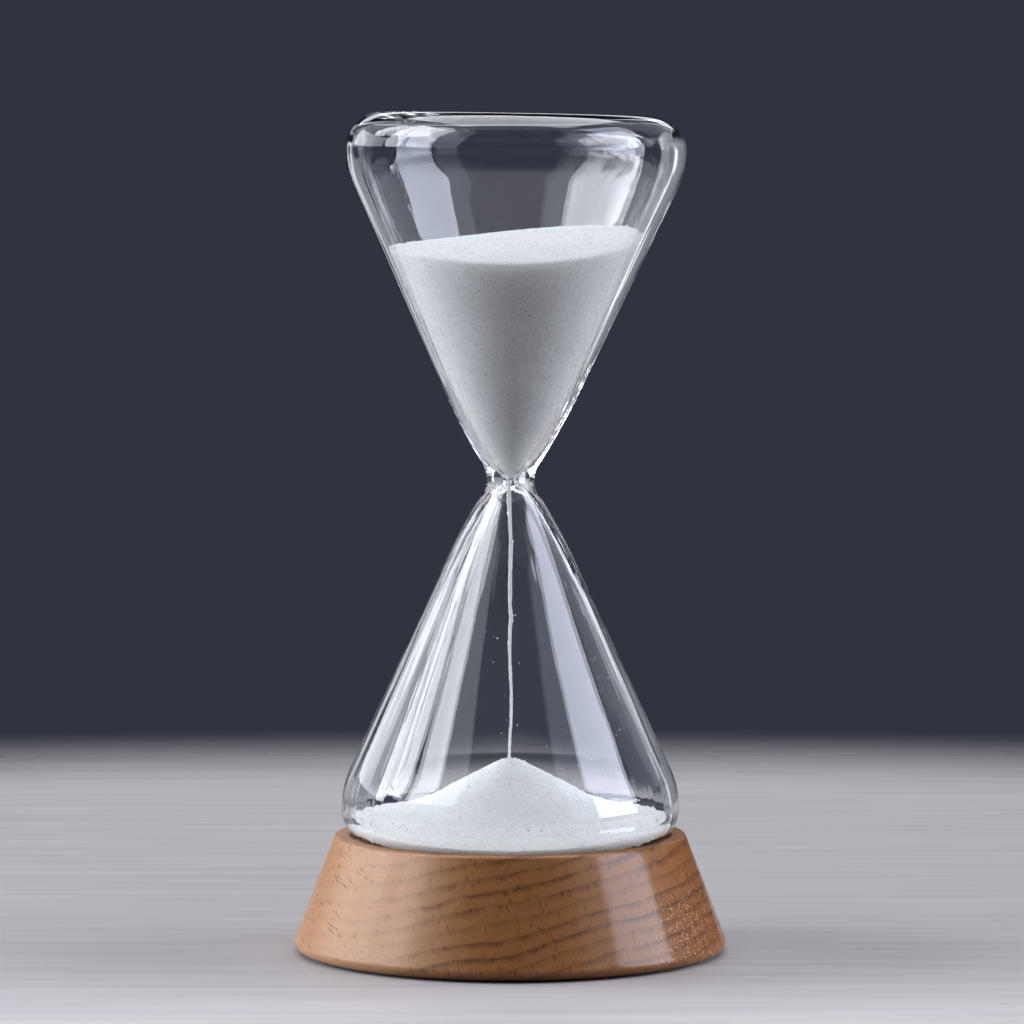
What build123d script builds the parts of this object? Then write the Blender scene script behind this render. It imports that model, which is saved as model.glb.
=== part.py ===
from build123d import *

import os
from math import asin, atan2, cos, degrees, hypot, radians, sin, sqrt, tan

# Desk hourglass: one blown glass with running sand, standing loose in a turned wooden foot.
# Origin on the table under the middle of the foot, +Z up, the viewer on the -Y side.

# Glass, in millimetres and degrees
glass_length = 152.2
bulb_diameter = 70.5
corner_radius = 7.5  # rounding from a bulb's flat end to its widest ring
flank_radius = 19.0  # rounding from the widest ring into the cone
neck_diameter = 10.0
waist_radius = 5.8  # hollow curve of the waist, seen from the side
waist_pinch = 7.4  # how much steeper than the cone the outside runs into the waist
cone_offset = 0.65  # the cones, drawn on to the neck plane, pass this far outside the waist
wall = 1.7
end_thickness = 1.6
throat_diameter = 2.2
throat_radius = 1.5  # rounding of the throat's edge, seen from the side
throat_pinch = 17.0  # how much steeper than the cone the inside runs into the throat

# Closed fill hole in the middle of the lower end
fill_hole_diameter = 7.0
seal_gap = 0.05
seal_setback = 0.3  # the seal stays this far inside the end, so the end stands flat

# Sand
grain_gap = 0.15  # between the sand and the glass around it
upper_level = 49.4  # middle of the upper surface, above the neck
upper_tilt_right = 3.6
upper_tilt_back = 6.3
heap_height = 17.5  # top of the heap above the outside of the lower end
heap_slope = 27.0
heap_reach = 14.2  # radius where the straight slope of the heap ends
heap_tip_radius = 7.0
skirt_radius = 50.0  # hollow curve from the heap out to the layer around it
skirt_slope = 5.5
stream_top_diameter = 1.0
stream_end_diameter = 0.6
stream_landing = 0.3  # flat ring of the heap's top around the end of the stream

# Wooden foot
base_height = 24.0
base_foot_diameter = 91.4  # where side and underside would meet without the rounding
foot_edge_radius = 1.6
rim_edge_radius = 0.8
seat_depth = 2.0
seat_play = 0.6  # between the glass and the wall of the seat, at the rim
rim_width = 3.05  # from the wall of the seat to the foot's top edge
seat_corner_radius = 0.8
seat_mouth_radius = 0.4

# Felt pad let into the underside
pad_thickness = 1.2
pad_reveal = 0.5  # how far the pad stands out below the wood
pad_margin = 5.0
pad_gap = 0.3

# Heights and sizes that follow from these
rim_height = pad_reveal + base_height
seat_height = rim_height - seat_depth
half_length = glass_length / 2
neck_height = seat_height + half_length
bulb_radius = bulb_diameter / 2
pocket_radius = base_foot_diameter / 2 - pad_margin

# The seat clears the rounded corner of the glass where that passes the rim
depth_on_corner = min(seat_depth, corner_radius)
corner_reach = sqrt(corner_radius**2 - (corner_radius - depth_on_corner) ** 2)
seat_radius = bulb_radius - corner_radius + corner_reach + seat_play
base_top_diameter = 2 * (seat_radius + rim_width)

# The cone of a bulb touches the flank curve and aims just outside the waist
flank_centre_r = bulb_radius - flank_radius
flank_centre_h = half_length - corner_radius
cone_start = neck_diameter / 2 + cone_offset
cone_run = hypot(flank_centre_r - cone_start, flank_centre_h)
cone_angle = degrees(atan2(flank_centre_r - cone_start, flank_centre_h) + asin(flank_radius / cone_run))


def revolved(outline):
    """Turn a closed outline of radius and height about the axis of the hourglass."""
    return revolve(Plane.XZ * make_face(outline), Axis.Z)


def rounded(face, corner, radius):
    """Round the one corner of a face that lies at the given radius and height."""
    return fillet(face.vertices().sort_by_distance(Vector(*corner))[0], radius)


def bulb_outline(side_depth, end_depth, neck, neck_curve, pinch):
    """Upper half of the glass, from the neck to the axis at the end, so far inside its outer surface."""
    steep = radians(cone_angle + pinch)
    cone = radians(cone_angle)
    flank = flank_radius - side_depth
    start = cone_start - side_depth / cos(cone)

    # The tangent of the neck curve and the cone cross here, and a wide arc joins them
    cross_rise = start - neck + neck_curve * (1 / cos(steep) - 1)
    cross = cross_rise / (tan(steep) - tan(cone))
    run = (cross - neck_curve * sin(steep)) / cos(steep)
    blend_radius = run / tan(radians(pinch) / 2)

    neck_arc = JernArc((neck, 0), (0, 1), neck_curve, -(cone_angle + pinch))
    blend_arc = JernArc(neck_arc @ 1, neck_arc % 1, blend_radius, pinch)
    flank_foot = (flank_centre_r + flank * cos(cone), flank_centre_h - flank * sin(cone))
    cone_line = Line(blend_arc @ 1, flank_foot)
    flank_arc = JernArc(flank_foot, (sin(cone), cos(cone)), flank, cone_angle)
    corner_arc = JernArc(flank_arc @ 1, (0, 1), corner_radius - end_depth, 90)
    end_line = Line(corner_arc @ 1, (0, half_length - end_depth))
    return Curve() + [neck_arc, blend_arc, cone_line, flank_arc, corner_arc, end_line]


def whole_bulbs(side_depth, end_depth, neck, neck_curve, pinch):
    """Both bulbs as one solid, with the neck plane at height zero."""
    upper = bulb_outline(side_depth, end_depth, neck, neck_curve, pinch)
    lower = mirror(upper, about=Plane.XZ)
    axis_line = Line((0, end_depth - half_length), (0, half_length - end_depth))
    return revolved(Curve() + [upper, lower, axis_line])


def sand_room():
    """Space for sand in the upper bulb, a grain's gap inside the glass, with the neck plane at height zero."""
    neck = throat_diameter / 2 - grain_gap
    end_depth = end_thickness + grain_gap
    outline = bulb_outline(wall + grain_gap, end_depth, neck, throat_radius + grain_gap, throat_pinch)
    closing = Polyline((0, half_length - end_depth), (0, 0), (neck, 0))
    return revolved(Curve() + [outline, closing])


def glass_body():
    """The hollow glass, with the fill hole through the middle of its lower end."""
    outside = whole_bulbs(0, 0, neck_diameter / 2, waist_radius, waist_pinch)
    inside = whole_bulbs(wall, end_thickness, throat_diameter / 2, throat_radius, throat_pinch)
    hole = Pos(0, 0, end_thickness / 2 - half_length) * Cylinder(fill_hole_diameter / 2, 2 * end_thickness)
    return Pos(0, 0, neck_height) * (outside - inside - hole)


def fill_seal():
    """Glass button that closes the fill hole."""
    height = end_thickness - seal_setback
    button = Cylinder(fill_hole_diameter / 2 - seal_gap, height)
    return Pos(0, 0, seat_height + seal_setback + height / 2) * button


def upper_sand():
    """Sand still in the upper bulb, under a surface that rises to the right and to the back."""
    normal = (-tan(radians(upper_tilt_right)), -tan(radians(upper_tilt_back)), 1)
    surface = Plane(origin=(0, 0, upper_level), z_dir=normal)
    return Pos(0, 0, neck_height) * split(sand_room(), bisect_by=surface, keep=Keep.BOTTOM)


def lower_sand():
    """Heap and layer in the lower bulb: the space under the heap's surface."""
    tip = Line((0, heap_height), (stream_end_diameter / 2 + stream_landing, heap_height))
    dome = JernArc(tip @ 1, (1, 0), heap_tip_radius, -heap_slope)
    fall = (heap_reach - (dome @ 1).X) * tan(radians(heap_slope))
    slope = Line(dome @ 1, (heap_reach, (dome @ 1).Y - fall))
    skirt = JernArc(slope @ 1, slope % 1, skirt_radius, heap_slope - skirt_slope)
    layer = PolarLine(skirt @ 1, bulb_radius, direction=skirt % 1)
    closing = Polyline(layer @ 1, ((layer @ 1).X, 0), (0, 0), (0, heap_height))
    below_surface = Pos(0, 0, seat_height) * revolved(Curve() + [tip, dome, slope, skirt, layer, closing])
    room = Pos(0, 0, neck_height) * mirror(sand_room(), about=Plane.XY)
    return room & below_surface


def sand_stream():
    """Thread of sand from the throat down to the top of the heap."""
    landing = seat_height + heap_height
    fall = neck_height - landing
    return Pos(0, 0, landing + fall / 2) * Cone(stream_end_diameter / 2, stream_top_diameter / 2, fall)


def wooden_base():
    """Turned foot: sloping side, round seat in the top, shallow pocket for the pad below."""
    foot = (base_foot_diameter / 2, pad_reveal)
    rim = (base_top_diameter / 2, rim_height)
    seat_mouth = (seat_radius, rim_height)
    seat_corner = (seat_radius, seat_height)
    pocket = [(0, pad_thickness), (pocket_radius, pad_thickness), (pocket_radius, pad_reveal)]
    outline = Polyline(*pocket, foot, rim, seat_mouth, seat_corner, (0, seat_height), close=True)
    face = make_face(outline)
    face = rounded(face, foot, foot_edge_radius)
    face = rounded(face, rim, rim_edge_radius)
    face = rounded(face, seat_mouth, seat_mouth_radius)
    face = rounded(face, seat_corner, seat_corner_radius)
    return revolve(Plane.XZ * face, Axis.Z)


def base_pad():
    """Felt disc in the pocket of the foot, standing a little proud of the wood."""
    return Pos(0, 0, pad_thickness / 2) * Cylinder(pocket_radius - pad_gap, pad_thickness)


pieces = {
    "wooden_base": wooden_base(),
    "base_pad": base_pad(),
    "glass_body": glass_body(),
    "fill_seal": fill_seal(),
    "upper_sand": upper_sand(),
    "sand_stream": sand_stream(),
    "lower_sand": lower_sand(),
}

os.makedirs("parts", exist_ok=True)
for name, piece in pieces.items():
    export_step(piece, f"parts/{name}.step")
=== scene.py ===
# Desk hourglass: a blown glass of running white sand, standing loose in a turned beech foot.
import cmath
import math
import random

import bpy
from mathutils import Matrix, Vector


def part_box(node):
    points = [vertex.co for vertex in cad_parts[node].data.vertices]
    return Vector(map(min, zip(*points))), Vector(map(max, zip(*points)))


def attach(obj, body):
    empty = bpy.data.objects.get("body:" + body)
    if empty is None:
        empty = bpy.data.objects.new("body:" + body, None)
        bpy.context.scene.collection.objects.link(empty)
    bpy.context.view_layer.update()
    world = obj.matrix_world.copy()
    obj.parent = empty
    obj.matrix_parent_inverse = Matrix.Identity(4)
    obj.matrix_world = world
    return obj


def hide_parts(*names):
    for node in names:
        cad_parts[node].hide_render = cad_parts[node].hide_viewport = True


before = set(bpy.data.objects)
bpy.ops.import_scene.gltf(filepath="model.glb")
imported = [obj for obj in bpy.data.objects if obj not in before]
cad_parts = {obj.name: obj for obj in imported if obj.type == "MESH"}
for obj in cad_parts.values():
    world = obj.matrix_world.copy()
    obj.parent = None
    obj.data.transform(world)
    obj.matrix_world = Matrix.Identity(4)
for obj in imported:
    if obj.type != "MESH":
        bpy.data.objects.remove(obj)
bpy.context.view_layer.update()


# Felt pad
# A thin disc of dark pressed felt, cut with a die and glued into a pocket under the foot.
# It stands half a millimetre proud, so it shows only as a dark line along the table; its near-black colour is
# partly the felt's own and partly painted shade for that line.
MM = 0.001
TURNED_STEPS = 224
ARC_STEP = math.radians(2.5)
LEAST_ARC_STEPS = 9
RUN_STEP = 3.0 * MM
SAME_SPOT = 1e-7
WELD_REACH = 1e-6


def turned_outline(corners, run_step=RUN_STEP):
    """Points of a turned profile, given corners of (radius, height, rounding) and two plain ends."""
    points = [complex(*corners[0][:2])]
    for before, corner, after in zip(corners, corners[1:], corners[2:]):
        here = complex(*corner[:2])
        way_in = here - complex(*before[:2])
        way_out = complex(*after[:2]) - here
        turn = cmath.phase(way_out / way_in)
        way_in /= abs(way_in)
        reach = corner[2] * math.tan(abs(turn) / 2)
        arc_start = here - way_in * reach
        pivot = arc_start + way_in * 1j * math.copysign(corner[2], turn)
        steps = max(LEAST_ARC_STEPS, round(abs(turn) / ARC_STEP))
        for k in range(steps + 1):
            points.append(pivot + (arc_start - pivot) * cmath.exp(1j * turn * k / steps))
    points.append(complex(*corners[-1][:2]))
    outline = [points[0]]
    for point in points[1:]:
        run = point - outline[-1]
        pieces = max(1, math.ceil(abs(run) / run_step))
        if abs(run) > SAME_SPOT:
            outline += [outline[-1] + run * k / pieces for k in range(1, pieces + 1)]
    return [(max(p.real, 0.0), p.imag) for p in outline]


def turn_on_lathe(name, outline, steps=TURNED_STEPS):
    """Draw the outline vertex by vertex, spin it about the axis and close it."""
    bpy.ops.object.select_all(action="DESELECT")
    bpy.ops.mesh.primitive_plane_add(size=MM)
    piece = bpy.context.object
    piece.name = piece.data.name = name
    bpy.ops.object.mode_set(mode="EDIT")
    bpy.ops.mesh.merge(type="CENTER")
    bpy.ops.transform.translate(value=(outline[0][0], 0, outline[0][1]))
    for (r0, z0), (r1, z1) in zip(outline, outline[1:]):
        bpy.ops.mesh.extrude_region_move(TRANSFORM_OT_translate={"value": (r1 - r0, 0, z1 - z0)})
    bpy.ops.mesh.select_all(action="SELECT")
    bpy.ops.mesh.spin(steps=steps, angle=math.tau, center=(0, 0, 0), axis=(0, 0, 1))
    bpy.ops.mesh.select_all(action="SELECT")
    bpy.ops.mesh.remove_doubles(threshold=WELD_REACH)
    bpy.ops.mesh.normals_make_consistent(inside=False)
    bpy.ops.object.mode_set(mode="OBJECT")
    bpy.ops.object.shade_smooth()
    return piece


def set_sockets(tree, node, **sockets):
    """Link or set sockets of a node, named with underscores for spaces or by number after an i."""
    for key, value in sockets.items():
        by_number = key[0] == "i" and key[1:].isdigit()
        socket = node.inputs[int(key[1:]) if by_number else key.replace("_", " ")]
        if isinstance(value, bpy.types.NodeSocket):
            tree.links.new(value, socket)
        else:
            socket.default_value = value


def add_node(tree, kind, settings=None, **sockets):
    """Add a node, set its properties and link or set its sockets."""
    node = tree.nodes.new(kind)
    for key, value in (settings or {}).items():
        setattr(node, key, value)
    set_sockets(tree, node, **sockets)
    return node


def plain_material(name, piece):
    """New material on the piece: its node tree, its Principled shader and places in the piece's own frame."""
    material = bpy.data.materials.new(name)
    material.use_nodes = True
    piece.data.materials.clear()
    piece.data.materials.append(material)
    tree = material.node_tree
    place = add_node(tree, "ShaderNodeTexCoord").outputs["Object"]
    return tree, tree.nodes["Principled BSDF"], place


def noise_node(tree, place, scale, detail, roughness=0.5):
    """Value of one Noise texture."""
    node = add_node(tree, "ShaderNodeTexNoise", Vector=place, Scale=scale, Detail=detail, Roughness=roughness)
    return node.outputs["Fac"]


def ramp_node(tree, factor, stops):
    """Colour of a ramp through stops of (position, colour)."""
    node = add_node(tree, "ShaderNodeValToRGB", Fac=factor)
    ramp = node.color_ramp
    while len(ramp.elements) < len(stops):
        ramp.elements.new(0.5)
    for element, (position, colour) in zip(ramp.elements, stops):
        element.position = position
        element.color = (*colour, 1.0)
    return node.outputs["Color"]


def bump_node(tree, height, distance, strength=1.0, **under):
    """Normal of one Bump node, laid over the Normal of another if that is given."""
    node = add_node(tree, "ShaderNodeBump", Height=height, Strength=strength, Distance=distance, **under)
    return node.outputs["Normal"]


PAD_EDGE = 0.25 * MM
pad_low, pad_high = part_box("base_pad")
pad_radius = pad_high.x
pad = turn_on_lathe("felt_pad", turned_outline([
    (0, pad_low.z),
    (pad_radius, pad_low.z, PAD_EDGE),
    (pad_radius, pad_high.z, PAD_EDGE),
    (0, pad_high.z),
]))

# Near-black felt: partly its own colour, partly painted shade for the dark line under the foot
FELT_DARK = (0.012, 0.010, 0.009)
FELT_PALE = (0.040, 0.034, 0.030)
FIBRES_PER_METRE = 2600.0
FIBRE_HEIGHT = 0.2 * MM
tree, shader, place = plain_material("dark_felt", pad)
fibre = noise_node(tree, place, FIBRES_PER_METRE, detail=4.0, roughness=0.7)
felt_colour = ramp_node(tree, fibre, [(0.3, FELT_DARK), (0.75, FELT_PALE)])
felt_normal = bump_node(tree, fibre, FIBRE_HEIGHT, strength=0.6)
set_sockets(tree, shader, Base_Color=felt_colour, Normal=felt_normal, Roughness=0.95, Sheen_Weight=0.3)
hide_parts("base_pad")
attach(pad, "base")


# Beech foot
# Turned on a lathe from one block of beech, with a sloping side, eased edges and a shallow seat in the top.
# The block lay across the log, so the front shows the growth rings, and a clear satin varnish covers it.
FOOT_RADIUS = 45.7 * MM
FOOT_EDGE = 1.6 * MM
TOP_RADIUS = 36.5 * MM
RIM_EDGE = 0.8 * MM
SEAT_RADIUS = 33.45 * MM
SEAT_MOUTH = 0.4 * MM
SEAT_CORNER = 0.8 * MM
POCKET_PLAY = 0.3 * MM
POCKET_CORNER = 0.1 * MM
POCKET_MOUTH = 0.2 * MM
wood_low, wood_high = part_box("wooden_base")
glass_low, glass_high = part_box("glass_body")
pocket_radius = pad_radius + POCKET_PLAY
seat_height = glass_low.z
foot = turn_on_lathe("beech_foot", turned_outline([
    (0, pad_high.z),
    (pocket_radius, pad_high.z, POCKET_CORNER),
    (pocket_radius, wood_low.z, POCKET_MOUTH),
    (FOOT_RADIUS, wood_low.z, FOOT_EDGE),
    (TOP_RADIUS, wood_high.z, RIM_EDGE),
    (SEAT_RADIUS, wood_high.z, SEAT_MOUTH),
    (SEAT_RADIUS, seat_height, SEAT_CORNER),
    (0, seat_height),
]))


def math_node(tree, operation, a, b=0.0, clamp=False):
    """Value of one Math node."""
    settings = {"operation": operation, "use_clamp": clamp}
    return add_node(tree, "ShaderNodeMath", settings, i0=a, i1=b).outputs[0]


def product(tree, *values):
    """Value of all the values multiplied."""
    result = values[0]
    for value in values[1:]:
        result = math_node(tree, "MULTIPLY", result, value)
    return result


def total(tree, *values):
    """Value of all the values added."""
    result = values[0]
    for value in values[1:]:
        result = math_node(tree, "ADD", result, value)
    return result


def range_node(tree, value, start, end, at_start=0.0, at_end=1.0, smooth=False):
    """Value that goes from at_start to at_end while the given one goes from start to end."""
    settings = {"interpolation_type": "SMOOTHSTEP" if smooth else "LINEAR"}
    span = {"i1": start, "i2": end, "i3": at_start, "i4": at_end}
    return add_node(tree, "ShaderNodeMapRange", settings, i0=value, **span).outputs["Result"]


def mapping_node(tree, place, **change):
    """Place after a Rotation or a Scale."""
    return add_node(tree, "ShaderNodeMapping", Vector=place, **change).outputs["Vector"]


def cells_node(tree, place, scale=1.0):
    """Distance from the middle of the nearest of many cells, and three chances of that cell's own."""
    cell = add_node(tree, "ShaderNodeTexVoronoi", Vector=place, Scale=scale)
    chances = add_node(tree, "ShaderNodeSeparateColor", Color=cell.outputs["Color"])
    return cell.outputs["Distance"], chances.outputs


def chance_node(tree, dimensions, **spot):
    """Chance that belongs to a number or a spot."""
    node = add_node(tree, "ShaderNodeTexWhiteNoise", {"noise_dimensions": dimensions}, **spot)
    return node.outputs["Value"]


def mix_colours(tree, share, first, second):
    """Colour between two, by the share of the second."""
    node = add_node(tree, "ShaderNodeMix", {"data_type": "RGBA"}, i0=share, i6=first, i7=second)
    return node.outputs[2]


# The growth rings lie nearly level and rise to the right; the tubes run towards the viewer, right and down
RING_UP = Vector((-0.24, 0.0, 1.0)).normalized()
TUBE_AXIS = Vector((0.38, -0.88, -0.26)).normalized()
RING_SPACING = 3.0 * MM
RING_WANDER = 5.0 * MM
RING_WOBBLE = 0.9 * MM
WANDERS_PER_METRE = 38.0
WOBBLES_PER_METRE = 260.0
ring_across = RING_UP.cross(Vector((0, -1, 0)))
tube_side = TUBE_AXIS.orthogonal().normalized()
ring_turn = Matrix((ring_across, RING_UP.cross(ring_across), RING_UP)).to_euler()
tube_turn = Matrix((tube_side, TUBE_AXIS.cross(tube_side), TUBE_AXIS)).to_euler()
tree, shader, place = plain_material("varnished_beech", foot)
place_parts = add_node(tree, "ShaderNodeSeparateXYZ", Vector=place)
from_left = place_parts.outputs["X"]
in_rings = mapping_node(tree, place, Rotation=ring_turn)
in_tubes = mapping_node(tree, place, Rotation=tube_turn)
ring_parts = add_node(tree, "ShaderNodeSeparateXYZ", Vector=in_rings)
wander = noise_node(tree, in_rings, WANDERS_PER_METRE, detail=2.0)
wobble = noise_node(tree, in_rings, WOBBLES_PER_METRE, detail=2.0)
level = total(
    tree, ring_parts.outputs["Z"], product(tree, wander, RING_WANDER), product(tree, wobble, RING_WOBBLE))
rings = math_node(tree, "DIVIDE", level, RING_SPACING)
ring_share = math_node(tree, "FRACT", rings)
ring_number = math_node(tree, "FLOOR", rings)
ring_tone = chance_node(tree, "1D", W=ring_number)

# Growth ring: pale early wood that ends in one thin late line, plain on the front and faint to the left
RING_DARKENS = [(0.0, 0.70), (0.16, 0.10), (0.55, 0.06), (0.82, 0.70), (0.94, 1.0)]
FIGURE_STARTS = -36.0 * MM
FIGURE_FULL = -4.0 * MM
FIGURE_LEAST = 0.16
LINE_STRENGTHS = (0.35, 0.95)
LINE_BREAKS = (0.3, 0.6)
LINE_LEAST = 0.3
ring_line = ramp_node(tree, ring_share, [(share, (dark,) * 3) for share, dark in RING_DARKENS])
line_strength = range_node(tree, ring_tone, 0.0, 1.0, *LINE_STRENGTHS)
line_break = range_node(tree, wobble, *LINE_BREAKS, LINE_LEAST, 1.0)
figure = range_node(tree, from_left, FIGURE_STARTS, FIGURE_FULL, FIGURE_LEAST, 1.0, smooth=True)
ring_dark = product(tree, ring_line, line_strength, line_break)

# Rays: thin dark sheets that cross one ring each, so the front looks laid in courses
RAY_SPACING = 2.4 * MM
RAY_WANDER = 6.0 * MM
RAY_WOBBLE = 1.6 * MM
RAY_SHIFT = 7.0
RAY_EDGE = (0.055, 0.018)
RAYS_KEPT = (0.25, 0.95)
RAY_BREAKS = (0.60, 0.42)
ray_shift = product(tree, ring_tone, RAY_SHIFT)
ray_run = total(
    tree, ring_parts.outputs["X"], product(tree, wander, RAY_WANDER), product(tree, wobble, RAY_WOBBLE))
ray_run = total(tree, math_node(tree, "DIVIDE", ray_run, RAY_SPACING), ray_shift)
ray_spot = add_node(tree, "ShaderNodeCombineXYZ", X=math_node(tree, "FLOOR", ray_run), Y=ring_number)
ray_keep = range_node(tree, chance_node(tree, "2D", Vector=ray_spot.outputs[0]), *RAYS_KEPT)
ray_off = math_node(tree, "ABSOLUTE", math_node(tree, "SUBTRACT", math_node(tree, "FRACT", ray_run), 0.5))
ray_line = range_node(tree, ray_off, *RAY_EDGE)
ray_break = range_node(tree, wobble, *RAY_BREAKS)
rays = product(tree, ray_line, ray_keep, ray_break)

# Flecks: short upright marks where the thin ends of rays come to the surface
FLECK_CELL = (0.75 * MM, 0.75 * MM, 2.0 * MM)
FLECK_EDGE = (0.50, 0.20)
FLECKS_KEPT = (0.55, 0.95)
fleck_place = mapping_node(tree, in_rings, Scale=tuple(1 / size for size in FLECK_CELL))
fleck_distance, fleck_chances = cells_node(tree, fleck_place)
fleck_core = range_node(tree, fleck_distance, *FLECK_EDGE)
fleck_keep = range_node(tree, fleck_chances["Red"], *FLECKS_KEPT)
flecks = product(tree, fleck_core, fleck_keep)

# Tubes: dark dots on the front that draw out to slanting dashes on the left side
TUBE_CELL = (0.40 * MM, 0.40 * MM, 6.0 * MM)
TUBE_EDGE = (0.45, 0.25)
TUBES_KEPT = (0.74, 0.84)
TUBES_FADE = 1.12
tube_place = mapping_node(tree, in_tubes, Scale=tuple(1 / size for size in TUBE_CELL))
tube_distance, tube_chances = cells_node(tree, tube_place)
tube_core = range_node(tree, tube_distance, *TUBE_EDGE)
tube_keep = range_node(tree, tube_chances["Red"], *TUBES_KEPT)
tubes = product(tree, tube_core, tube_keep, math_node(tree, "SUBTRACT", TUBES_FADE, figure))

# All marks together, over fine pores and slow changes of tone, with painted shade darkening the right side
RING_WEIGHT = 0.90
RAY_WEIGHT = 0.65
FLECK_WEIGHT = 0.50
TUBE_WEIGHT = 0.70
PORES_PER_METRE = (4200.0, 4200.0, 700.0)
PORE_SPAN = (0.35, 0.75)
PORE_MARKS = (0.12, -0.04)
PATCHES_PER_METRE = 55.0
SHADE_STARTS = 12.0 * MM
SHADE_FULL = 40.0 * MM
SHADE_MOST = 0.42
COURSE_WEIGHT = 0.22
COURSE_MIDDLE = 0.6
WOOD_PALE = (0.510, 0.282, 0.158, 1.0)
WOOD_MID = (0.410, 0.155, 0.038, 1.0)
WOOD_DARK = (0.125, 0.042, 0.010, 1.0)
pores = noise_node(tree, mapping_node(tree, in_tubes, Scale=PORES_PER_METRE), 1.0, detail=2.0)
patches = noise_node(tree, in_rings, PATCHES_PER_METRE, detail=3.0)
pore_mark = range_node(tree, pores, *PORE_SPAN, *PORE_MARKS)
# Painted shade: the right side is darkened in the colour itself, for the shade it lies in
painted_right_shade = range_node(tree, from_left, SHADE_STARTS, SHADE_FULL, 0.0, SHADE_MOST)
front_marks = total(
    tree, product(tree, ring_dark, RING_WEIGHT), product(tree, rays, RAY_WEIGHT),
    product(tree, flecks, FLECK_WEIGHT))
front_marks = product(tree, front_marks, figure)
marks = total(tree, front_marks, product(tree, tubes, TUBE_WEIGHT), painted_right_shade)
marks = math_node(tree, "ADD", marks, pore_mark, clamp=True)
course_off = math_node(tree, "SUBTRACT", fleck_chances["Green"], COURSE_MIDDLE)
patch_off = math_node(tree, "SUBTRACT", patches, 0.5)
darkness = total(tree, product(tree, course_off, COURSE_WEIGHT), patch_off, 1.0)
# Partly painted light: towards the left the ground fades to the pale wood, partly for the paler long grain
# there and partly for the light of the left window
darkness = math_node(tree, "MULTIPLY", darkness, figure, clamp=True)
ground = mix_colours(tree, darkness, WOOD_PALE, WOOD_MID)
wood_colour = mix_colours(tree, marks, ground, WOOD_DARK)

# Painted glints: bright specks painted into the colour where the right side turns away, low on the front, for
# the window caught in the varnish
PAINTED_GLINT = (0.80, 0.52, 0.38, 1.0)
SPECK_SIZE = 0.55 * MM
SPECK_EDGE = (0.42, 0.20)
SPECKS_KEPT = (0.50, 0.80)
SPECKS_RIGHT = (28.0 * MM, 33.0 * MM)
SPECKS_LOW = (19.0 * MM, 12.0 * MM)
SPECKS_FRONT = (-4.0 * MM, -14.0 * MM)
speck_distance, speck_chances = cells_node(tree, place, 1 / SPECK_SIZE)
speck_core = range_node(tree, speck_distance, *SPECK_EDGE)
speck_keep = range_node(tree, speck_chances["Red"], *SPECKS_KEPT)
speck_side = range_node(tree, from_left, *SPECKS_RIGHT, smooth=True)
speck_low = range_node(tree, place_parts.outputs["Z"], *SPECKS_LOW)
speck_front = range_node(tree, place_parts.outputs["Y"], *SPECKS_FRONT)
painted_glints = product(tree, speck_core, speck_keep, speck_side, speck_low, speck_front)
# Painted highlight: the glint specks are painted bright into the wood's colour
wood_with_painted_glints = mix_colours(tree, painted_glints, wood_colour, PAINTED_GLINT)

# Satin varnish, glossier to the right; where only one roughness is read, it is the middle one
GRAIN_DEPTH = 0.05 * MM
MARK_DEPTH = 0.6
PATCH_SPAN = (0.3, 0.7)
WOOD_ROUGHNESS = (0.42, 0.55)
COAT_DEPTH = 0.04 * MM
COAT_SPAN = (-20.0 * MM, 20.0 * MM)
COAT_ROUGHNESS = (0.26, 0.13)
COAT_MIDDLE = 0.2
COAT_WEIGHT = 0.54
grain_height = math_node(tree, "SUBTRACT", pores, product(tree, marks, MARK_DEPTH))
wood_normal = bump_node(tree, grain_height, GRAIN_DEPTH, strength=0.35)
coat_normal = bump_node(tree, pores, COAT_DEPTH, strength=0.10)
gloss = range_node(tree, patches, *PATCH_SPAN, *WOOD_ROUGHNESS)
coat_gloss = range_node(tree, from_left, *COAT_SPAN, *COAT_ROUGHNESS)
set_sockets(tree, shader, Base_Color=wood_with_painted_glints, Normal=wood_normal, Roughness=gloss, Specular_IOR_Level=0.15)
set_sockets(tree, shader, Coat_Weight=COAT_WEIGHT, Coat_Normal=coat_normal, Coat_Roughness=COAT_MIDDLE)
set_sockets(tree, shader, Coat_Roughness=coat_gloss)
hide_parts("wooden_base")
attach(foot, "base")


# Blown glass
# One tube of borosilicate glass, blown into two bulbs, pinched to a throat and pressed flat at both ends.
# The dimple under the lower end is where the fill hole was melted shut; the upper bulb stands a hair crooked.
BULB_RADIUS = glass_high.x
CORNER_RADIUS = 7.5 * MM
FLANK_RADIUS = 19.0 * MM
NECK_RADIUS = 5.0 * MM
WAIST_RADIUS = 5.8 * MM
WAIST_PINCH = math.radians(7.4)
CONE_OFFSET = 0.65 * MM
WALL = 1.7 * MM
END_THICKNESS = 1.6 * MM
THROAT_RADIUS = 1.1 * MM
THROAT_CURVE = 3.0 * MM
THROAT_PINCH = math.radians(12.0)
SEAL_RADIUS = 3.5 * MM
SEAL_SETBACK = 0.3 * MM
SEAL_EDGE = 0.3 * MM
INNER_CORNER = 4.4 * MM
UPPER_LEAN = math.radians(1.0)
BORE_LEAN = math.radians(0.55)
half_length = (glass_high.z - glass_low.z) / 2
neck_height = glass_low.z + half_length
flank_centre = complex(BULB_RADIUS - FLANK_RADIUS, half_length - CORNER_RADIUS)
cone_start = NECK_RADIUS + CONE_OFFSET
cone_reach = flank_centre - cone_start
cone_angle = math.atan2(cone_reach.real, cone_reach.imag) + math.asin(FLANK_RADIUS / abs(cone_reach))


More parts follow.
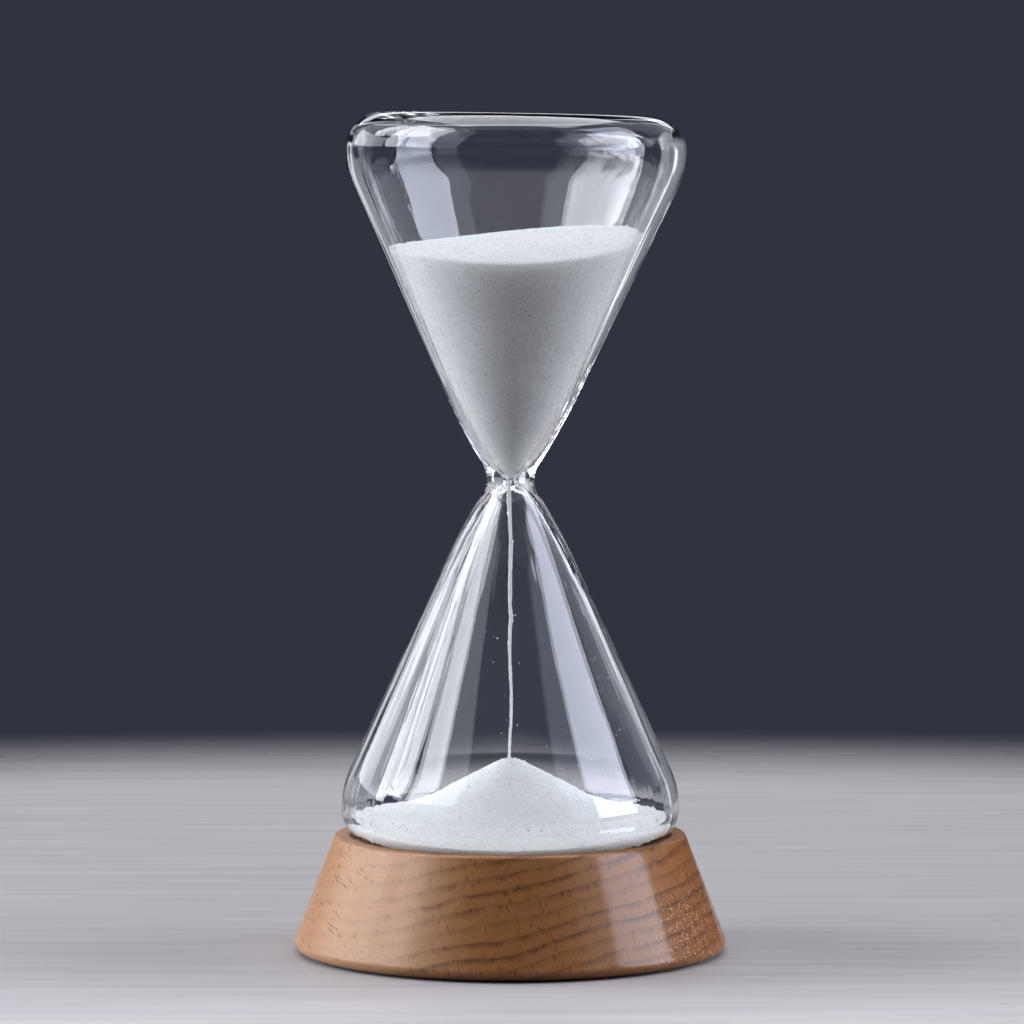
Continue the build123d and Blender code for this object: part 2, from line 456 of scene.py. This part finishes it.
def bulb_corners(side_depth, end_depth, corner, neck, neck_curve, pinch):
    """Corners of the upper half of the glass, from the neck to the flat end, so far inside its surface."""
    steep = cone_angle + pinch
    start = cone_start - side_depth / math.cos(cone_angle)
    neck_corner = neck - neck_curve * (1 / math.cos(steep) - 1)
    cross = (start - neck_corner) / (math.tan(steep) - math.tan(cone_angle))
    blend = (cross / math.cos(steep) - neck_curve * math.tan(steep)) / math.tan(pinch / 2)
    side = BULB_RADIUS - side_depth
    side_corner = (side - start) / math.tan(cone_angle)
    return [
        (neck_corner, 0, neck_curve),
        (neck_corner + cross * math.tan(steep), cross, blend),
        (side, side_corner, FLANK_RADIUS - side_depth),
        (side, half_length - end_depth, corner),
    ]


def both_bulbs(upper, low_end, high_end):
    """Whole profile from the lower end to the upper one, at the height of the glass."""
    lower = [(r, -h, rounding) for r, h, rounding in reversed(upper[1:])]
    raised = [(r, neck_height + h, rounding) for r, h, rounding in lower + upper]
    return low_end + raised + high_end


outside = bulb_corners(0, 0, CORNER_RADIUS, NECK_RADIUS, WAIST_RADIUS, WAIST_PINCH)
inside = bulb_corners(WALL, END_THICKNESS, INNER_CORNER, THROAT_RADIUS, THROAT_CURVE, THROAT_PINCH)
sealed_end = [
    (0, glass_low.z + SEAL_SETBACK),
    (SEAL_RADIUS - SEAL_SETBACK, glass_low.z + SEAL_SETBACK, SEAL_EDGE),
    (SEAL_RADIUS + SEAL_SETBACK, glass_low.z, SEAL_EDGE),
]
glass = turn_on_lathe("blown_glass", turned_outline(both_bulbs(outside, sealed_end, [(0, glass_high.z)])))
inner_low = glass_low.z + END_THICKNESS
inner_high = glass_high.z - END_THICKNESS
bore = turn_on_lathe("bore", turned_outline(both_bulbs(inside, [(0, inner_low)], [(0, inner_high)])))


def select_where(piece, chosen):
    """Open the piece for editing, with those of its vertices selected that are chosen."""
    bpy.ops.object.select_all(action="DESELECT")
    piece.select_set(True)
    bpy.context.view_layer.objects.active = piece
    bpy.ops.object.mode_set(mode="EDIT")
    bpy.ops.mesh.select_mode(type="VERT")
    bpy.ops.mesh.select_all(action="DESELECT")
    bpy.ops.object.mode_set(mode="OBJECT")
    for vertex in piece.data.vertices:
        vertex.select = chosen(vertex.co)
    bpy.ops.object.mode_set(mode="EDIT")


def lean_upper(piece, lean):
    """Tip what lies above the neck to the right, as the upper bulb of this glass stands."""
    select_where(piece, lambda spot: spot.z > neck_height)
    neck = (0, 0, neck_height)
    bpy.ops.transform.rotate(value=-lean, orient_axis="Y", orient_type="GLOBAL", center_override=neck)
    rise = (BULB_RADIUS - CORNER_RADIUS) * math.sin(lean)
    bpy.ops.transform.resize(value=(1, 1, half_length / (half_length + rise)), center_override=neck)
    bpy.ops.object.mode_set(mode="OBJECT")


lean_upper(glass, UPPER_LEAN)
lean_upper(bore, BORE_LEAN)
bpy.ops.object.mode_set(mode="EDIT")
bpy.ops.mesh.select_all(action="SELECT")
bpy.ops.mesh.flip_normals()
bpy.ops.object.mode_set(mode="OBJECT")
glass.select_set(True)
bpy.context.view_layer.objects.active = glass
bpy.ops.object.join()

# A faint ripple all over, and a haze of smears that hardly shows
GLASS_TINT = (0.985, 0.992, 0.992, 1.0)
GLASS_IOR = 1.474
RIPPLES_PER_METRE = 48.0
RIPPLE_STRETCH = (1.0, 1.0, 0.45)
RIPPLE_HEIGHT = 0.6 * MM
SMEARS_PER_METRE = 160.0
SMEAR_SPAN = (0.45, 0.8)
HAZE_MOST = 0.025
tree, shader, place = plain_material("clear_glass", glass)
ripple = noise_node(tree, mapping_node(tree, place, Scale=RIPPLE_STRETCH), RIPPLES_PER_METRE, detail=1.0)
smears = noise_node(tree, place, SMEARS_PER_METRE, detail=3.0)
haze = range_node(tree, smears, *SMEAR_SPAN, 0.0, HAZE_MOST)
glass_normal = bump_node(tree, ripple, RIPPLE_HEIGHT, strength=0.22)


def vector_node(tree, operation, **sockets):
    """Vector of one Vector Math node."""
    return add_node(tree, "ShaderNodeVectorMath", {"operation": operation}, **sockets).outputs[0]


# Drawing the tube left fine streaks along it, which run out over the bulbs
STREAKS = 6.0
STREAK_RUN = 14.0
STREAK_HEIGHT = 0.08 * MM
STREAKS_END = 2.0 * MM
around = vector_node(tree, "NORMALIZE", i0=vector_node(tree, "MULTIPLY", i0=place, i1=(1.0, 1.0, 0.0)))
along = vector_node(tree, "MULTIPLY", i0=place, i1=(0.0, 0.0, STREAK_RUN))
streak_place = vector_node(tree, "MULTIPLY_ADD", i0=around, i1=(STREAKS,) * 3, i2=along)
streak = noise_node(tree, streak_place, 1.0, detail=2.0)
height_up = add_node(tree, "ShaderNodeSeparateXYZ", Vector=place).outputs["Z"]
streak_end = range_node(tree, height_up, glass_high.z - CORNER_RADIUS, glass_high.z - STREAKS_END, 1.0, 0.0)
streak_height = product(tree, streak, streak_end)
glass_normal = bump_node(tree, streak_height, STREAK_HEIGHT, Normal=glass_normal)
set_sockets(tree, shader, Base_Color=GLASS_TINT, Roughness=haze, Normal=glass_normal)
set_sockets(tree, shader, Transmission_Weight=1.0, IOR=GLASS_IOR)


def mix_shaders(tree, share, first, second):
    """Shader between two, by the share of the second."""
    return add_node(tree, "ShaderNodeMixShader", i0=share, i1=first, i2=second).outputs[0]


# Lamps shine straight through the glass, and so does light scattered from what is inside and behind it
LAMP_TINT = (0.965, 0.970, 0.972, 1.0)
lamp_light = add_node(tree, "ShaderNodeBsdfTransparent", Color=LAMP_TINT).outputs[0]
path = add_node(tree, "ShaderNodeLightPath")
lamps_pass = mix_shaders(tree, path.outputs["Is Shadow Ray"], shader.outputs[0], lamp_light)
glow_passes = mix_shaders(tree, path.outputs["Is Diffuse Ray"], lamps_pass, lamp_light)
set_sockets(tree, tree.nodes["Material Output"], Surface=glow_passes)
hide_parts("glass_body", "fill_seal")
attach(glass, "glass")


# Sand in the upper bulb
# Fine washed quartz sand, nearly white. It fills the cone of the bulb down to the throat,
# and its top lies aslant, higher to the right and to the back, as the last turn of the glass left it.
GRAIN_GAP = 0.12 * MM
GRAIN_MESH = 0.35 * MM
GRAIN_ROUGHNESS = 0.10 * MM
BROW = 1.8 * MM
BROW_ROUNDS = 6
EVEN_ROUNDS = 3
LAST_ROUNDS = 2
UPPER_STEPS = 96
UPPER_SEED = 3
UPPER_LEVEL = 50.0 * MM
UPPER_TILT_RIGHT = math.radians(3.65)
UPPER_TILT_BACK = math.radians(3.6)
UPPER_DIP = 2.9 * MM
UPPER_TWIST = 1.2 * MM
UPPER_FADE = 14.0 * MM


def roughen_to_grains(piece, seed, on_brow):
    """Cover the piece with even small faces, round its brow and shake it as uneven as poured grains."""
    bpy.ops.object.select_all(action="DESELECT")
    piece.select_set(True)
    bpy.context.view_layer.objects.active = piece
    remesh = piece.modifiers.new("even_faces", "REMESH")
    remesh.mode = "VOXEL"
    remesh.voxel_size = GRAIN_MESH
    bpy.ops.object.modifier_apply(modifier=remesh.name)
    select_where(piece, on_brow)
    bpy.ops.mesh.vertices_smooth(factor=0.5, repeat=BROW_ROUNDS)
    bpy.ops.mesh.select_all(action="SELECT")
    bpy.ops.mesh.vertices_smooth(factor=0.5, repeat=EVEN_ROUNDS)
    bpy.ops.transform.vertex_random(offset=GRAIN_ROUGHNESS, uniform=0.0, normal=1.0, seed=seed)
    bpy.ops.object.mode_set(mode="OBJECT")
    select_where(piece, on_brow)
    bpy.ops.mesh.vertices_smooth(factor=0.5, repeat=LAST_ROUNDS)
    bpy.ops.object.mode_set(mode="OBJECT")
    bpy.ops.object.shade_smooth()


room = bulb_corners(
    WALL + GRAIN_GAP, END_THICKNESS + GRAIN_GAP, INNER_CORNER - GRAIN_GAP,
    THROAT_RADIUS - GRAIN_GAP, THROAT_CURVE + GRAIN_GAP, THROAT_PINCH)
fill_line = [(r, neck_height + h, rounding) for r, h, rounding in room]
throat_end = [(0, neck_height), (fill_line[0][0], neck_height, 0)]
sand_outline = turned_outline(throat_end + fill_line[1:] + [(0, fill_line[-1][1])])
sand_above = turn_on_lathe("sand_above", sand_outline, steps=UPPER_STEPS)
bpy.ops.object.mode_set(mode="EDIT")
bpy.ops.mesh.select_all(action="SELECT")
surface_normal = Vector((-math.tan(UPPER_TILT_RIGHT), -math.tan(UPPER_TILT_BACK), 1.0)).normalized()
surface_middle = Vector((0, 0, neck_height + UPPER_LEVEL))
bpy.ops.mesh.bisect(plane_co=surface_middle, plane_no=surface_normal, use_fill=True, clear_outer=True)
bpy.ops.object.mode_set(mode="OBJECT")
roughen_to_grains(sand_above, UPPER_SEED, lambda spot: (spot - surface_middle).dot(surface_normal) > -BROW)

# The front of the surface has sunk, most of all to the right
rim_radius = cone_start - WALL / math.cos(cone_angle) + UPPER_LEVEL * math.tan(cone_angle)
for vertex in sand_above.data.vertices:
    spot = vertex.co
    below = (surface_middle - spot).dot(surface_normal)
    forward = max(0.0, -spot.y) / rim_radius
    rise = UPPER_TWIST * spot.x * spot.y / rim_radius ** 2 - UPPER_DIP * forward ** 2
    rise *= max(0.0, 1.0 - below / UPPER_FADE)
    spread = 1.0 + rise * math.tan(cone_angle) / max(spot.xy.length, MM)
    vertex.co = (spot.x * spread, spot.y * spread, spot.z + rise)
lean_upper(sand_above, BORE_LEAN)

SAND_BRIGHT = (0.92, 0.925, 0.94)
SAND_PALE = (0.85, 0.855, 0.87)
SAND_GREY = (0.76, 0.76, 0.77)
SAND_DARK = (0.42, 0.40, 0.38)
SAND_TONES = [(0.0, SAND_DARK), (0.008, SAND_GREY), (0.16, SAND_PALE), (1.0, SAND_BRIGHT)]
SAND_IOR = 1.54
GRAIN_SIZE = 0.30 * MM
GRAIN_HEIGHT = 0.12 * MM
GRAIN_FACET = 0.6
DRIFTS_PER_METRE = 120.0
DRIFT_SPAN = (0.3, 0.7)
DRIFT_LEAST = 0.93
GLINTS = (0.93, 0.95)
DULL_GRAIN = 0.85
GLINTING_GRAIN = 0.12
SCATTER_WEIGHT = 0.8
SCATTER_REACH = 7.0 * MM


def sand_material(name, piece, brightness=1.0):
    """White quartz sand: every grain its own tone and tilt, a few dark ones, a few that glint."""
    tree, shader, place = plain_material(name, piece)
    distance, chances = cells_node(tree, place, 1 / GRAIN_SIZE)
    tone = ramp_node(tree, chances["Red"], SAND_TONES)
    drift = noise_node(tree, place, DRIFTS_PER_METRE, detail=3.0)
    shade = range_node(tree, drift, *DRIFT_SPAN, DRIFT_LEAST * brightness, brightness)
    colour = vector_node(tree, "SCALE", Vector=tone, Scale=shade)
    glint = range_node(tree, chances["Green"], *GLINTS, DULL_GRAIN, GLINTING_GRAIN)
    height = math_node(tree, "SUBTRACT", product(tree, chances["Blue"], GRAIN_FACET), distance)
    normal = bump_node(tree, height, GRAIN_HEIGHT, strength=0.6)
    set_sockets(tree, shader, Base_Color=colour, Roughness=glint, Normal=normal, IOR=SAND_IOR)
    set_sockets(tree, shader, Subsurface_Weight=SCATTER_WEIGHT, Subsurface_Scale=SCATTER_REACH)
    set_sockets(tree, shader, Subsurface_Radius=(1.0, 1.0, 1.0))
    return tree, shader


sand_material("white_sand_above", sand_above)
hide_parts("upper_sand")
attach(sand_above, "glass")


# Sand in the lower bulb
# The sand that has run through: a shallow layer over the floor of the bulb, lower towards the viewer,
# with a low heap under the throat whose foot runs out in a hollow curve.
HEAP_HEIGHT = 17.5 * MM
HEAP_SLOPE = math.radians(27.0)
HEAP_TIP = 7.0 * MM
LAYER_EDGE = 5.9 * MM
LAYER_ROUNDING = 0.1 * MM
SKIRT_SLOPE = math.radians(4.0)
SKIRT_SHARE = 0.95
FRONT_DROP = 2.9 * MM
LOWER_STEPS = 128
LOWER_SEED = 5
heap_top = glass_low.z + HEAP_HEIGHT
floor_height = glass_low.z + END_THICKNESS + GRAIN_GAP
layer_height = glass_low.z + LAYER_EDGE
layer_radius = BULB_RADIUS - WALL - GRAIN_GAP
tip_corner = HEAP_TIP * math.tan(HEAP_SLOPE / 2)
heap_fall = heap_top - layer_height + tip_corner * math.tan(HEAP_SLOPE)
skirt_fall = heap_fall - layer_radius * math.tan(SKIRT_SLOPE)
skirt_corner = skirt_fall / (math.tan(HEAP_SLOPE) - math.tan(SKIRT_SLOPE))
skirt_height = layer_height + (layer_radius - skirt_corner) * math.tan(SKIRT_SLOPE)
skirt_curve = SKIRT_SHARE * (layer_radius - skirt_corner) / math.tan((HEAP_SLOPE - SKIRT_SLOPE) / 2)
sand_below = turn_on_lathe("sand_below", turned_outline([
    (0, heap_top),
    (tip_corner, heap_top, HEAP_TIP),
    (skirt_corner, skirt_height, skirt_curve),
    (layer_radius, layer_height, LAYER_ROUNDING),
    (layer_radius, floor_height, INNER_CORNER - GRAIN_GAP),
    (0, floor_height),
]), steps=LOWER_STEPS)
layer_depth = layer_height - floor_height
for vertex in sand_below.data.vertices:
    forward = max(0.0, -vertex.co.y) / layer_radius
    share = min(1.0, (vertex.co.z - floor_height) / layer_depth)
    vertex.co.z -= FRONT_DROP * forward ** 2 * share
brow_height = layer_height - FRONT_DROP - BROW
brow_start = layer_radius - 2 * BROW
roughen_to_grains(
    sand_below, LOWER_SEED, lambda spot: spot.xy.length > brow_start and spot.z > brow_height)
tree, shader = sand_material("white_sand_below", sand_below)

# The wall of the bulb mirrors this sand only dimly
SAND_MIRRORED = (0.22, 0.225, 0.25, 1.0)
path = add_node(tree, "ShaderNodeLightPath")
mirrored = add_node(tree, "ShaderNodeBsdfDiffuse", Color=SAND_MIRRORED).outputs[0]
dimmed = mix_shaders(tree, path.outputs["Glossy Depth"], shader.outputs[0], mirrored)
set_sockets(tree, tree.nodes["Material Output"], Surface=dimmed)
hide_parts("lower_sand")
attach(sand_below, "glass")


# Falling sand
# The thread of grains that runs from the throat to the top of the heap,
# loosening and swaying a little as it falls.
THREAD_TOP = 0.48 * MM
THREAD_END = 0.26 * MM
THREAD_EDGE = 0.05 * MM
THREAD_DIP = 0.3 * MM
THREAD_RUN = 0.35 * MM
THREAD_STEPS = 9
THREAD_ROUGHNESS = 0.13 * MM
THREAD_SEED = 11
THREAD_SWAY = 0.9 * MM
DRAUGHT_SIZE = 11.0 * MM
THREAD_TONE = 0.45
stream_low, stream_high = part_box("sand_stream")
thread = turn_on_lathe("sand_thread", turned_outline([
    (0, stream_low.z - THREAD_DIP),
    (THREAD_END, stream_low.z - THREAD_DIP, THREAD_EDGE),
    (THREAD_TOP, stream_high.z, THREAD_EDGE),
    (0, stream_high.z),
], run_step=THREAD_RUN), steps=THREAD_STEPS)
bpy.ops.object.mode_set(mode="EDIT")
bpy.ops.mesh.select_all(action="SELECT")
bpy.ops.transform.vertex_random(offset=THREAD_ROUGHNESS, uniform=0.0, normal=1.0, seed=THREAD_SEED)
bpy.ops.object.mode_set(mode="OBJECT")
draught = bpy.data.textures.new("draught", "CLOUDS")
draught.noise_scale = DRAUGHT_SIZE
sway = thread.modifiers.new("sway", "DISPLACE")
sway.texture = draught
sway.texture_coords = "LOCAL"
sway.direction = "X"
sway.strength = THREAD_SWAY
bpy.ops.object.modifier_apply(modifier=sway.name)
sand_material("white_sand_falling", thread, brightness=THREAD_TONE)
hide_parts("sand_stream")
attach(thread, "glass")


# Loose grains
# Grains that the stream throws up round the top of the heap, and a few that cling to the inside of the glass.
# The splash lies thickest at the middle.
CHANCE_SEED = 21
FIRST_GRAIN = 0.1 * MM
SPLASH_GRAINS = 70
SPLASH_REACH = 4.5 * MM
SPLASH_CROWDING = 1.5
SPLASH_SIZES_MM = (0.10, 0.19)
WALL_GRAINS = 40
WALL_DROPS_MM = (30.0, 58.0)
WALL_SIZES_MM = (0.07, 0.13)
LOOSE_ROUGHNESS = 0.03 * MM
LOOSE_SEED = 2
chance = random.Random(CHANCE_SEED)
bpy.ops.object.select_all(action="DESELECT")
bpy.ops.mesh.primitive_ico_sphere_add(subdivisions=1, radius=FIRST_GRAIN, location=(0, 0, heap_top))
bpy.ops.object.transform_apply(location=True, rotation=True, scale=True)
loose = bpy.context.object
loose.name = loose.data.name = "loose_grains"
bpy.ops.object.mode_set(mode="EDIT")
for k in range(SPLASH_GRAINS):
    turn = chance.uniform(0, math.tau)
    reach = SPLASH_REACH * chance.random() ** SPLASH_CROWDING
    fall = HEAP_TIP - math.sqrt(HEAP_TIP ** 2 - reach ** 2)
    size = chance.uniform(*SPLASH_SIZES_MM) * MM
    spot = (reach * math.cos(turn), reach * math.sin(turn), heap_top - fall + 0.5 * size)
    bpy.ops.mesh.primitive_ico_sphere_add(subdivisions=1, radius=size, location=spot)
for k in range(WALL_GRAINS):
    turn = chance.uniform(0, math.tau)
    drop = chance.uniform(*WALL_DROPS_MM) * MM
    size = chance.uniform(*WALL_SIZES_MM) * MM
    reach = cone_start - WALL / math.cos(cone_angle) + drop * math.tan(cone_angle) - size
    spot = (reach * math.cos(turn), reach * math.sin(turn), neck_height - drop)
    bpy.ops.mesh.primitive_ico_sphere_add(subdivisions=1, radius=size, location=spot)
bpy.ops.mesh.select_all(action="SELECT")
bpy.ops.transform.vertex_random(offset=LOOSE_ROUGHNESS, uniform=1.0, normal=0.0, seed=LOOSE_SEED)
bpy.ops.object.mode_set(mode="OBJECT")
sand_material("white_sand_loose", loose)
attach(loose, "glass")


# Studio
# A pale floor of fine streaks, in an oval that fades into a plain dark backdrop, with soft daylight from
# tall windows to the left and to the right, from above and a little from behind.
FLOOR_RADIUS = 0.68
FLOOR_CORNERS = 128
FLOOR_STREAKS = (12.0, 160.0, 1.0)
FLOOR_PALE = (0.47, 0.44, 0.455)
FLOOR_GREY = (0.395, 0.37, 0.385)
FLOOR_ROUGHNESS = 0.45
FLOOR_SHINE = 0.08
FRONT_SPAN = (-0.16, 0.0)
FRONT_PAINTED_LIGHT = (1.85, 1.0)
SIDE_SPAN = (0.12, 0.42)
SIDE_PAINTED_SHADE = (1.0, 0.5)
FLOOR_DRAWN_IN = (0.65, 1.0, 1.0)
FLOOR_FADE = (0.27, 0.42)
FLOOR_BOUNCE = (0.13, 0.125, 0.13, 1.0)
bpy.ops.object.select_all(action="DESELECT")
bpy.ops.mesh.primitive_circle_add(radius=FLOOR_RADIUS, vertices=FLOOR_CORNERS, fill_type="NGON")
floor = bpy.context.object
floor.name = "floor"
tree, shader, place = plain_material("pale_floor", floor)
streaks = noise_node(tree, mapping_node(tree, place, Scale=FLOOR_STREAKS), 1.0, detail=4.0)
floor_tone = ramp_node(tree, streaks, [(0.3, FLOOR_GREY), (0.7, FLOOR_PALE)])
floor_parts = add_node(tree, "ShaderNodeSeparateXYZ", Vector=place)
# Painted light and shade: the floor's colour is painted paler towards the front and darker towards the sides
painted_front_light = range_node(tree, floor_parts.outputs["Y"], *FRONT_SPAN, *FRONT_PAINTED_LIGHT)
painted_side_shade = range_node(tree, math_node(tree, "ABSOLUTE", floor_parts.outputs["X"]), *SIDE_SPAN, *SIDE_PAINTED_SHADE)
floor_colour = vector_node(tree, "SCALE", Vector=floor_tone, Scale=product(tree, painted_front_light, painted_side_shade))
set_sockets(tree, shader, Base_Color=floor_colour)
set_sockets(tree, shader, Roughness=FLOOR_ROUGHNESS, Specular_IOR_Level=FLOOR_SHINE)

# The floor fades out in an oval, and throws back less light than its colour would
drawn_in = mapping_node(tree, place, Scale=FLOOR_DRAWN_IN)
distance = add_node(tree, "ShaderNodeVectorMath", {"operation": "LENGTH"}, Vector=drawn_in).outputs["Value"]
fade = range_node(tree, distance, *FLOOR_FADE, smooth=True)
away = add_node(tree, "ShaderNodeBsdfTransparent").outputs[0]
dim = add_node(tree, "ShaderNodeBsdfDiffuse", Color=FLOOR_BOUNCE).outputs[0]
path = add_node(tree, "ShaderNodeLightPath")
thrown_back = mix_shaders(tree, path.outputs["Is Diffuse Ray"], shader.outputs[0], dim)
set_sockets(tree, tree.nodes["Material Output"], Surface=mix_shaders(tree, fade, thrown_back, away))

# The backdrop is seen, also in glass and gloss, and matte surfaces get a faint even light instead
BACKDROP = (0.030, 0.034, 0.049, 1.0)
AMBIENT = (0.92, 0.95, 1.0, 1.0)
AMBIENT_STRENGTH = 0.04
world = bpy.data.worlds.new("studio")
world.use_nodes = True
bpy.context.scene.world = world
tree = world.node_tree
ambient = tree.nodes["Background"]
set_sockets(tree, ambient, Color=AMBIENT, Strength=AMBIENT_STRENGTH)
backdrop = add_node(tree, "ShaderNodeBackground", Color=BACKDROP, Strength=1.0)
path = add_node(tree, "ShaderNodeLightPath")
seen = math_node(tree, "MAXIMUM", path.outputs["Is Camera Ray"], path.outputs["Is Glossy Ray"])
seen = math_node(tree, "MAXIMUM", seen, path.outputs["Is Transmission Ray"])
sky = mix_shaders(tree, seen, ambient.outputs[0], backdrop.outputs[0])
set_sockets(tree, tree.nodes["World Output"], Surface=sky)

DAYLIGHT = (0.91, 0.945, 1.0)
LEFT_SKY = (0.90, 0.935, 1.0)
RIGHT_SKY = (0.79, 0.84, 1.0)
LAMPS_AIM = Vector((0, 0, 0.09))
NEAR = 0.50
FAR = 1.05
BEHIND = 1.2

# What a lamp acts on: matte surfaces, gloss, and what is seen through glass
ON_MATTE = (True, False, False)
IN_GLOSS = (False, True, False)
IN_GLASS = (False, False, True)
IN_BOTH = (False, True, True)


def soft_window(name, colour, azimuth, distance, height, width, tall, power, acts):
    """A soft lamp turned to the middle of the hourglass; azimuth 0 is towards the viewer, 90 to the right."""
    turn = math.radians(azimuth)
    spot = (distance * math.sin(turn), -distance * math.cos(turn), height)
    bpy.ops.object.light_add(type="AREA", location=spot)
    lamp = bpy.context.object
    lamp.name = name
    lamp.data.shape = "RECTANGLE"
    lamp.data.size = width
    lamp.data.size_y = tall
    lamp.data.energy = power
    lamp.data.color = colour
    aim = LAMPS_AIM - lamp.location
    lamp.rotation_euler = aim.to_track_quat("-Z", "Y").to_euler()
    lamp.visible_camera = False
    lamp.visible_diffuse, lamp.visible_glossy, lamp.visible_transmission = acts


# Windows that the glass and the varnish show: near panes to the left, a far one to the right, a glow by each
soft_window("left_window", LEFT_SKY, -90, NEAR, 0.43, 0.150, 0.52, 2.0, IN_BOTH)
soft_window("left_pane", LEFT_SKY, -68, NEAR, 0.43, 0.190, 0.52, 2.35, IN_BOTH)
soft_window("left_curtain", LEFT_SKY, -50, NEAR, 0.43, 0.248, 0.52, 0.47, IN_BOTH)
soft_window("left_wing", LEFT_SKY, -106, FAR, 0.625, 0.26, 0.95, 9.1, IN_GLASS)
soft_window("left_haze", LEFT_SKY, -121, FAR, 0.40, 0.80, 0.34, 2.4, IN_GLOSS)
soft_window("left_glow", LEFT_SKY, -125, FAR, 0.64, 0.80, 0.92, 2.2, IN_GLASS)
soft_window("right_window", RIGHT_SKY, 80, FAR, 0.55, 0.68, 1.1, 16.0, IN_BOTH)
soft_window("right_curtain", RIGHT_SKY, 51, FAR, 0.55, 0.36, 1.1, 1.1, IN_BOTH)
soft_window("right_glow", RIGHT_SKY, 125, FAR, 0.64, 0.80, 0.92, 1.2, IN_GLASS)

# Light on the sand, the wood and the floor
soft_window("left_fill", DAYLIGHT, -98, FAR, 0.28, 0.80, 0.5, 15.5, ON_MATTE)
soft_window("right_fill", DAYLIGHT, 102, FAR, 0.28, 0.80, 0.5, 11.8, ON_MATTE)
soft_window("back_fill", DAYLIGHT, 180, FAR, 0.28, 0.80, 0.5, 4.0, ON_MATTE)
soft_window("overhead", DAYLIGHT, 0, 0.40, 1.4, 2.0, 2.0, 16.2, ON_MATTE)

# Light from behind along the edges of the glass, on its flat top and low in the lower bulb
soft_window("left_edge", DAYLIGHT, -160, BEHIND, 0.30, 0.25, 1.2, 0.7, IN_GLASS)
soft_window("right_edge", DAYLIGHT, 145, BEHIND, 0.30, 0.14, 1.2, 0.6, IN_GLASS)
soft_window("top_edge", DAYLIGHT, 180, BEHIND, 0.62, 1.0, 0.2, 1.2, IN_BOTH)
soft_window("top_glow", DAYLIGHT, 180, 0.35, 1.4, 1.2, 1.2, 26.0, IN_GLOSS)
soft_window("left_low", DAYLIGHT, -155.5, BEHIND, -0.05, 0.71, 0.36, 0.25, IN_GLASS)
soft_window("right_low", DAYLIGHT, 153, BEHIND, -0.05, 0.60, 0.36, 0.20, IN_GLASS)

# Thick clear glass passes light on many times before it leaves
MOST_BOUNCES = 32
GLOSSY_BOUNCES = 24
light_paths = bpy.context.scene.cycles
light_paths.max_bounces = MOST_BOUNCES
light_paths.glossy_bounces = GLOSSY_BOUNCES
light_paths.transmission_bounces = MOST_BOUNCES

CAMERA_DISTANCE = 1.0575
CAMERA_HEIGHT = 0.1645
CAMERA_PITCH = math.radians(3.937)
CAMERA_RIGHT = 0.00035
LENS = 179.3
SENSOR = 36.0
bpy.ops.object.camera_add(location=(CAMERA_RIGHT, -CAMERA_DISTANCE, CAMERA_HEIGHT))
camera = bpy.context.object
camera.rotation_euler = (math.pi / 2 - CAMERA_PITCH, 0, 0)
camera.data.lens = LENS
camera.data.sensor_width = SENSOR
bpy.context.scene.camera = camera
bpy.context.scene.view_settings.view_transform = "Standard"
